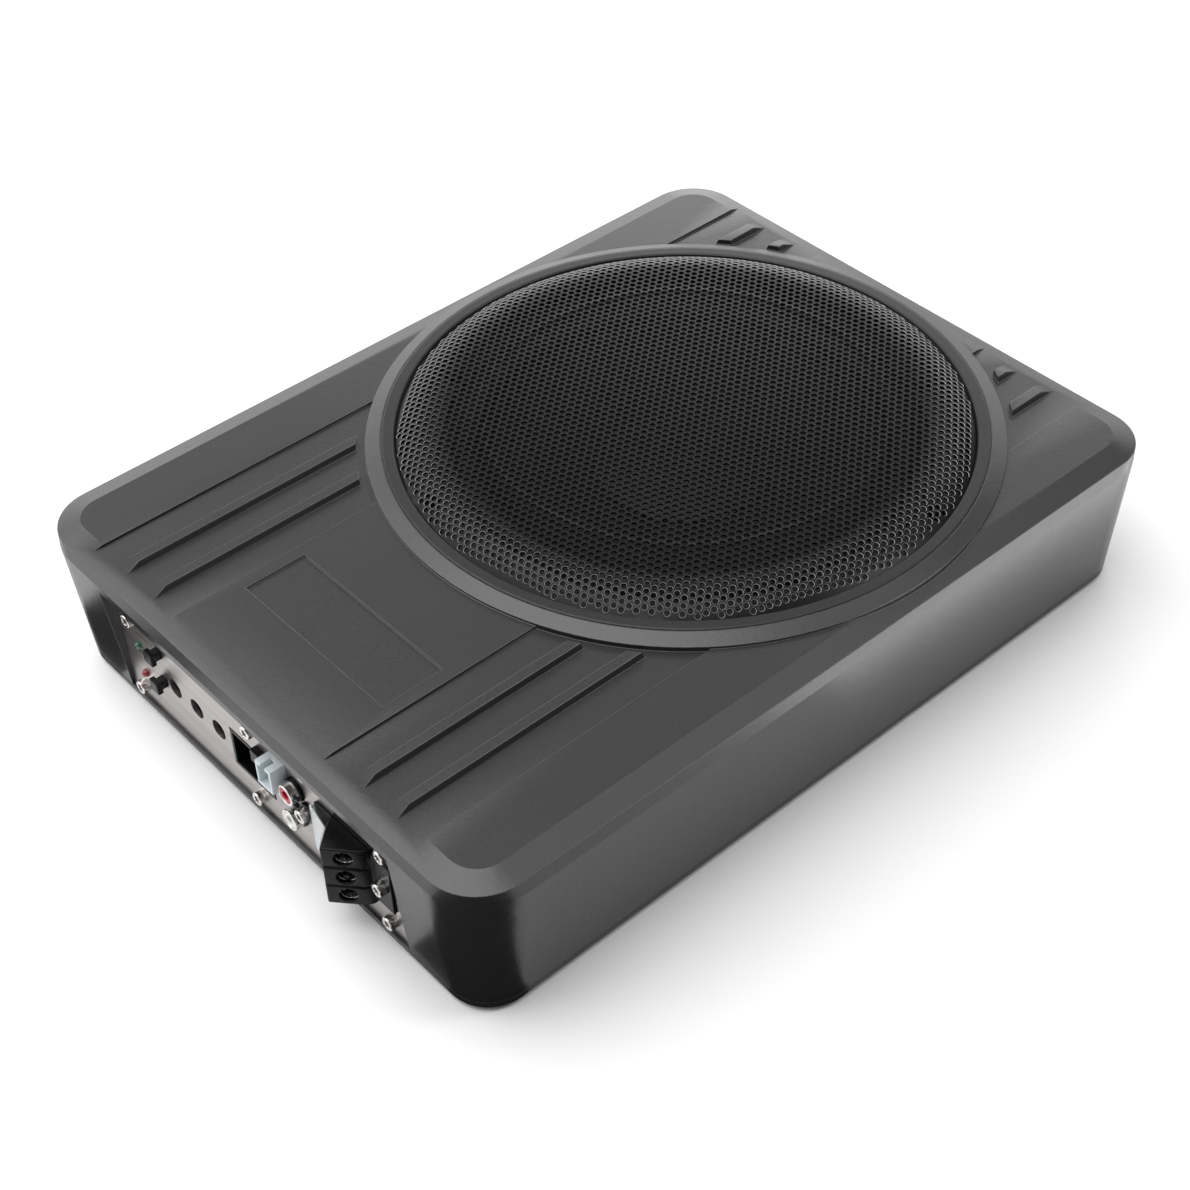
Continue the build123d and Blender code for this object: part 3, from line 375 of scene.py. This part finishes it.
def softened(node, width, highlight_paint=None):
    """Copy of a CAD node's mesh, standing for it, with its sharp edges rounded over to a width, in a lighter
    paint of their own, a painted highlight, if there is one, and its slighter edges kept as fine lines."""
    form = bmesh.new()
    form.from_mesh(nodes[node].data)
    bmesh.ops.remove_doubles(form, verts=form.verts, dist=WELD)
    bmesh.ops.dissolve_degenerate(form, edges=form.edges, dist=WELD)
    bmesh.ops.dissolve_limit(form, angle_limit=math.radians(0.2), verts=form.verts, edges=form.edges)
    sharp = []
    for edge in form.edges:
        turn = edge.calc_face_angle(0) if len(edge.link_faces) == 2 else 0
        edge.smooth = turn < LINE_TURN or turn > ROUNDED_TURN
        if turn > ROUNDED_TURN:
            sharp.append(edge)
    # the faces of the rounded edges take the second paint, the painted highlight, if one is given
    bmesh.ops.bevel(form, geom=sharp, offset=width, segments=ROUND_SEGMENTS, profile=0.5, affect="EDGES",
                    clamp_overlap=False, loop_slide=True, miter_outer="SHARP",
                    material=1 if highlight_paint else -1)
    piece = add_piece(form, node + "_softened", node)
    if highlight_paint:
        piece.data.materials.append(highlight_paint)
    even_shading(piece)


def lathe(form, origin, axis, rings, count):
    """Closed skin through rings of (distance along the axis, radius or radius by angle), of count points."""
    turn = Vector(axis).to_track_quat("Z", "Y")
    loops = []
    for along, radius in rings:
        loop = []
        for k in range(count):
            a = math.tau * k / count
            r = radius(a) if callable(radius) else radius
            loop.append(form.verts.new(origin + turn @ Vector((r * math.cos(a), r * math.sin(a), along))))
        loops.append(loop)
    for a, b in zip(loops, loops[1:]):
        for k in range(count):
            n = (k + 1) % count
            form.faces.new((a[k], a[n], b[n], b[k]))
    form.faces.new(loops[0][::-1])
    form.faces.new(loops[-1])


# ---------------------------------------------------------------- surround and spider
def flexing(node):
    """Copy of a ring's mesh, standing for it, left out of the bodies. On the driver the basket holds it
    outside one radius and it follows the cone inside the other; here its points are only turned into one
    plane through the axis while its transform is applied, and then put back."""
    form = bmesh.new()
    form.from_mesh(nodes[node].data)
    bmesh.ops.remove_doubles(form, verts=form.verts, dist=WELD)
    piece = add_piece(form, node + "_flexing", node, bends=True, crease=35)
    places = [vert.co.copy() for vert in piece.data.vertices]
    for vert, place in zip(piece.data.vertices, places):
        vert.co = ((place.xy - driver_axis.xy).length, 0, place.z)
    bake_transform(piece)
    for vert, place in zip(piece.data.vertices, places):
        vert.co = place


# ---------------------------------------------------------------- perforated grille
def grille_profile():
    """Points (radius, height) along the grille's upper face, from its middle outwards."""
    low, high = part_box("grille")
    shoulder, shoulder_z = DOME_EDGE
    drop = high.z - shoulder_z
    sphere = (shoulder ** 2 + drop ** 2) / (2 * drop)
    points = []
    for k in range(DOME_STEPS + 1):
        r = shoulder * k / DOME_STEPS
        ridge = RIDGE_HEIGHT * math.exp(-((r - RIDGE_RADIUS) / RIDGE_WIDTH) ** 2)
        points.append((r, high.z - sphere + math.sqrt(sphere ** 2 - r ** 2) + ridge))
    knee_end = Vector((KNEE_EDGE, low.z + CAD_SHEET))
    centre, radius, a0, a1 = arc_through(Vector(DOME_EDGE), Vector(KNEE), knee_end)
    for k in range(1, KNEE_STEPS + 1):
        a = a0 + (a1 - a0) * k / KNEE_STEPS
        points.append((centre.x + radius * math.cos(a), centre.y + radius * math.sin(a)))
    return points


def arc_through(a, b, c):
    """Centre, radius and end angles of the circle through three points."""
    d = 2 * (a.x * (b.y - c.y) + b.x * (c.y - a.y) + c.x * (a.y - b.y))
    sa, sb, sc = a.length_squared, b.length_squared, c.length_squared
    centre = Vector(((sa * (b.y - c.y) + sb * (c.y - a.y) + sc * (a.y - b.y)) / d,
                     (sa * (c.x - b.x) + sb * (a.x - c.x) + sc * (b.x - a.x)) / d))
    start, end = a - centre, c - centre
    return centre, start.length, math.atan2(start.y, start.x), math.atan2(end.y, end.x)


def along_profile(points):
    """Function from distance along a profile to (point, normal) on it, and the profile's length."""
    reach = [0.0]
    for (r0, z0), (r1, z1) in zip(points, points[1:]):
        reach.append(reach[-1] + math.hypot(r1 - r0, z1 - z0))
    normals = []
    for k in range(len(points)):
        r0, z0 = points[max(k - 1, 0)]
        r1, z1 = points[min(k + 1, len(points) - 1)]
        length = math.hypot(r1 - r0, z1 - z0)
        normals.append((-(z1 - z0) / length, (r1 - r0) / length))
    normals[0] = (0.0, 1.0)

    def at(distance):
        low, high = 0, len(reach) - 1
        while high - low > 1:
            k = (low + high) // 2
            if reach[k] > distance:
                high = k
            else:
                low = k
        share = (distance - reach[low]) / (reach[high] - reach[low])
        p = [points[low][i] + share * (points[high][i] - points[low][i]) for i in (0, 1)]
        n = [normals[low][i] + share * (normals[high][i] - normals[low][i]) for i in (0, 1)]
        return p, n
    return at, reach[-1]


def grille_mesh():
    """Domed steel sheet with round holes in a close-packed lattice."""
    at, reach = along_profile(grille_profile())
    form = bmesh.new()
    shared = {}

    def lifted(x, y, level):
        """Place on the dome of a point of the flat lattice: level 0 is the upper face, 1 the underside."""
        rho = math.hypot(x, y)
        (r, z), (nr, nz) = at(min(rho, reach))
        r, z = r - nr * PERFORATED_SHEET * level, z - nz * PERFORATED_SHEET * level
        turn = math.atan2(y, x)
        return driver_axis.x + r * math.cos(turn), driver_axis.y + r * math.sin(turn), z

    def corner(x, y, level):
        """Vertex that neighbouring cells share, held inside the rim."""
        rho = math.hypot(x, y)
        if rho > reach:
            x, y = x * reach / rho, y * reach / rho
        key = (round(x / CORNER_MATCH), round(y / CORNER_MATCH), level)
        if key not in shared:
            shared[key] = form.verts.new(lifted(x, y, level))
        return shared[key]

    side = HOLE_PITCH / math.sqrt(3)
    tilt = LATTICE_TURN + math.pi / 6
    corner_turns = [tilt + k * math.pi / 3 for k in range(6)]
    hole_turns = [tilt + k * math.tau / HOLE_SIDES for k in range(HOLE_SIDES)]
    rows = int(reach / (HOLE_PITCH * math.sqrt(3) / 2)) + 2
    for row in range(-rows, rows + 1):
        for column in range(-rows, rows + 1):
            u = (column + (row % 2) / 2) * HOLE_PITCH
            v = row * HOLE_PITCH * math.sqrt(3) / 2
            x = u * math.cos(LATTICE_TURN) - v * math.sin(LATTICE_TURN)
            y = u * math.sin(LATTICE_TURN) + v * math.cos(LATTICE_TURN)
            rho = math.hypot(x, y)
            if rho > reach + side * CELL_OVERHANG:
                continue
            places = [(x + side * math.cos(a), y + side * math.sin(a)) for a in corner_turns]
            outer = [[corner(px, py, level) for px, py in places] for level in (0, 1)]
            if rho + HOLE_RADIUS + HOLE_LIP > reach - HOLE_CLEARANCE:
                for level in (0, 1):
                    loop = list(dict.fromkeys(outer[level]))
                    if len(loop) > 2:
                        add_face(form, loop if level == 0 else loop[::-1])
                continue
            rings = []
            for radius, level in ((HOLE_RADIUS + HOLE_LIP, 0), (HOLE_RADIUS, LIP_DEPTH), (HOLE_RADIUS, 1)):
                circle = [(x + radius * math.cos(a), y + radius * math.sin(a)) for a in hole_turns]
                rings.append([form.verts.new(lifted(px, py, level)) for px, py in circle])
            web(form, outer[0], rings[0], False)
            for k in range(HOLE_SIDES):
                form.edges.get((rings[0][k], rings[0][k - 1])).smooth = False
            web(form, outer[1], rings[2], True)
            for upper, lower in zip(rings, rings[1:]):
                for k in range(HOLE_SIDES):
                    n = (k + 1) % HOLE_SIDES
                    # the faces of each hole's lip take the second finish, the rims with the painted highlight
                    add_face(form, (upper[n], upper[k], lower[k], lower[n]), upper is rings[0])
    return form


def add_face(form, verts, finish=0):
    """Adds a face with the finish of that number, unless a degenerate or doubled one would come of it."""
    if len(set(verts)) == len(verts) and form.faces.get(verts) is None:
        form.faces.new(verts).material_index = finish


def web(form, outer, inner, flipped):
    """Triangles between a hexagon's corners and the hole inside it, both running the same way round."""
    i = j = 0
    n_out, n_in = len(outer), len(inner)
    while i < n_out or j < n_in:
        a, b = outer[i % n_out], inner[j % n_in]
        step_out = (i + 0.5) / n_out
        step_in = (j + 0.5) / n_in
        if j >= n_in or (i < n_out and step_out <= step_in):
            c = outer[(i + 1) % n_out]
            i += 1
        else:
            c = inner[(j + 1) % n_in]
            j += 1
        add_face(form, (b, c, a) if flipped else (a, c, b))


def make_grille():
    """Perforated sheet with the flat rim round it."""
    form = grille_mesh()
    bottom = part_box("grille")[0].z
    top = bottom + CAD_SHEET
    rim = half_width("grille")
    rings = []
    for r, z in ((RIM_EDGE, bottom), (RIM_EDGE, top), (rim, top), (rim, bottom)):
        rings.append([form.verts.new((driver_axis.x + r * math.cos(k * math.tau / RIM_SIDES),
                                      driver_axis.y + r * math.sin(k * math.tau / RIM_SIDES), z))
                      for k in range(RIM_SIDES)])
    for a, b in zip(rings, rings[1:] + rings[:1]):
        for k in range(RIM_SIDES):
            n = (k + 1) % RIM_SIDES
            add_face(form, (a[k], b[k], b[n], a[n]))
    piece = add_piece(form, "grille_perforated", "grille")
    # second finish: the rims of the holes with their painted highlight
    piece.data.materials.append(rims_painted_highlight("rims_painted_highlight", driver_axis, *RIM_HIGHLIGHT_RADII))


# ---------------------------------------------------------------- socket-head cap screws
def knurled(radius):
    """Radius by angle of a knurled head: it dips at every other point round it."""
    return lambda a: radius - KNURL_DEPTH * (round(a / math.tau * SCREW_POINTS) % 2)


def hexagon(apothem):
    """Radius by angle of a hexagon."""
    sixth = math.pi / 3
    return lambda a: apothem / math.cos(a % sixth - sixth / 2)


def cap_screw_piece(node):
    """Knurled socket-head screws in the places of a node's plain ones, heads towards -X."""
    form = bmesh.new()
    for low, high in bodies_of(node):
        centre = (low + high) / 2
        outer = (high.y - low.y) / 2
        length = high.x - low.x - HEAD_HEIGHT
        tip = Vector((high.x, centre.y, centre.z))
        top = length + HEAD_HEIGHT
        # tapered end, shank, knurled head with a rounded rim, hexagon socket
        lathe(form, tip, (-1, 0, 0), [
            (0, SHANK_RADIUS * 0.8),
            (0.4 * MM, SHANK_RADIUS),
            (length, SHANK_RADIUS),
            (length, outer - 0.2 * MM),
            (length + 0.15 * MM, knurled(outer)),
            (top - 0.4 * MM, knurled(outer)),
            (top - 0.3 * MM, outer - 0.14 * MM),
            (top - 0.08 * MM, outer - 0.28 * MM),
            (top, outer - 0.42 * MM),
            (top, 1.62 * MM),
            (top - 0.12 * MM, 1.5 * MM),
            (top - 0.2 * MM, hexagon(SOCKET_APOTHEM)),
            (top - 1.8 * MM, hexagon(SOCKET_APOTHEM)),
            (top - 2.1 * MM, 0.1 * MM)], SCREW_POINTS)
    even_shading(add_piece(form, node + "_knurled", node, crease=40))


flexing("surround")
flexing("spider")
make_grille()
for node in ("panel_screws", "terminal_screws"):
    cap_screw_piece(node)
# the housing's rounded edges get the painted highlight
softened("top_housing", 0.2 * MM, edge_highlight_coat)
for node, width in (("panel_plate", 0.15), ("power_terminal_body", 0.5),
                    ("base_plate", 0.4), ("rubber_feet", 0.6), ("base_screws", 0.15),
                    ("grille_retainer_ring", 0.12), ("phase_button", 0.35), ("auto_on_button", 0.35),
                    ("level_dial", 0.15), ("crossover_dial", 0.15), ("bass_boost_dial", 0.15),
                    ("rca_block", 0.3), ("rca_shells", 0.22), ("rca_insert_white", 0.2),
                    ("rca_insert_red", 0.2), ("remote_socket", 0.25), ("speaker_socket", 0.2),
                    ("terminal_cover", 0.15), ("terminal_clamps", 0.25)):
    softened(node, width * MM)


# ---------------------------------------------------------------- stage, lights and camera
def add_sheet(name, corners, height, colour, roughness, specular):
    """Flat sheet of the stage, at a height."""
    mesh = bpy.data.meshes.new(name)
    mesh.from_pydata([(x, y, height) for x, y in corners], [], [tuple(range(len(corners)))])
    material, _, shader = shader_of(name + "_surface")
    shader.inputs["Base Color"].default_value = colour
    shader.inputs["Roughness"].default_value = roughness
    shader.inputs["Specular IOR Level"].default_value = specular
    mesh.materials.append(material)
    sheet = bpy.data.objects.new(name, mesh)
    bpy.context.scene.collection.objects.link(sheet)
    return sheet


def add_floor():
    corners = [(-FLOOR_HALF, -FLOOR_HALF), (FLOOR_HALF, -FLOOR_HALF),
               (FLOOR_HALF, FLOOR_HALF), (-FLOOR_HALF, FLOOR_HALF)]
    add_sheet("floor", corners, 0, (0.86, 0.86, 0.86, 1), 0.6, 0.2)


def add_card(name, corners):
    """Black card lying on the floor that only reflections see."""
    card = add_sheet(name, corners, CARD_HEIGHT, (0.004, 0.004, 0.004, 1), 0.9, 0.0)
    card.visible_camera = card.visible_diffuse = card.visible_transmission = card.visible_shadow = False


def add_area(name, place, aim, size, power, colour=(1, 1, 1)):
    """Rectangular light that the camera doesn't see."""
    light = bpy.data.lights.new(name, "AREA")
    light.shape = "RECTANGLE"
    light.size, light.size_y = size
    light.energy = power
    light.color = colour
    lamp = bpy.data.objects.new(name, light)
    lamp.location = place
    lamp.rotation_mode = "QUATERNION"
    lamp.rotation_quaternion = (Vector(aim) - Vector(place)).to_track_quat("-Z", "Y")
    lamp.visible_camera = False
    bpy.context.scene.collection.objects.link(lamp)


def add_world():
    world = bpy.data.worlds.new("studio")
    world.use_nodes = True
    background = world.node_tree.nodes["Background"]
    background.inputs["Color"].default_value = (0.93, 0.94, 0.96, 1)
    background.inputs["Strength"].default_value = 0.3
    bpy.context.scene.world = world


def add_camera():
    """Seen from the panel's corner, 43 degrees above the floor, with a slight roll."""
    azimuth, elevation, roll = (math.radians(v) for v in (-40.33, 43.11, -1.91))
    aim = Vector((-0.0224, -0.0236, 0.037))
    distance = 0.767
    back = Vector((math.sin(azimuth) * math.cos(elevation),
                   -math.cos(azimuth) * math.cos(elevation),
                   math.sin(elevation)))
    right = Vector((0, 0, 1)).cross(back).normalized()
    up = back.cross(right)
    rolled_right = math.cos(roll) * right + math.sin(roll) * up
    rolled_up = math.cos(roll) * up - math.sin(roll) * right
    lens = bpy.data.cameras.new("camera")
    lens.sensor_width = 36
    lens.lens = 64.26
    lens.clip_start = 0.05
    camera = bpy.data.objects.new("camera", lens)
    turn = Matrix((rolled_right, rolled_up, back)).transposed()
    camera.matrix_world = Matrix.Translation(aim + distance * back) @ turn.to_4x4()
    bpy.context.scene.collection.objects.link(camera)
    bpy.context.scene.camera = camera


add_floor()
add_world()
add_card("near_card", [(-0.26, -0.0795), (-0.26, -0.26), (-0.136, -0.26),
                       (-0.136, -0.122), (-0.158, -0.10), (-0.159, -0.0795)])
add_card("far_card", [(-0.28, 0.095), (-0.158, 0.095), (-0.158, 0.136), (-0.28, 0.136)])
add_area("overhead", (-0.4, 0.35, 1.5), (-0.4, 0.35, 0), (1.3, 1.7), 25)
add_area("floor_glow", (0.28, -0.33, 0.003), (0.28, -0.33, 1), (0.5, 0.36), 1.5, (1, 0.975, 0.96))
add_area("back_strip", (0.5, 1.6, 0.5), (0, 0, 0.05), (2.6, 1.1), 15)
add_area("right_back_strip", (1.5, 0.8, 0.7), (0, 0, 0.05), (1.6, 1.1), 9)
add_area("bevel_light", (0.62, 0.0, 1.25), (0, 0, 0.05), (0.5, 0.5), 1.2)
add_area("left_rear", (-0.29, 1.12, 1.02), (-0.16, 0, 0.06), (0.5, 0.35), 1.6, (0.97, 0.96, 1))
add_area("edge_light", (0.6, -0.63, 0.9), (0, 0, 0.05), (0.35, 0.35), 3.2)
add_area("left_card", (-1.15, 0.95, 0.75), (0, 0, 0.03), (1.3, 0.8), 8)
add_camera()
bpy.context.scene.view_settings.view_transform = "Standard"
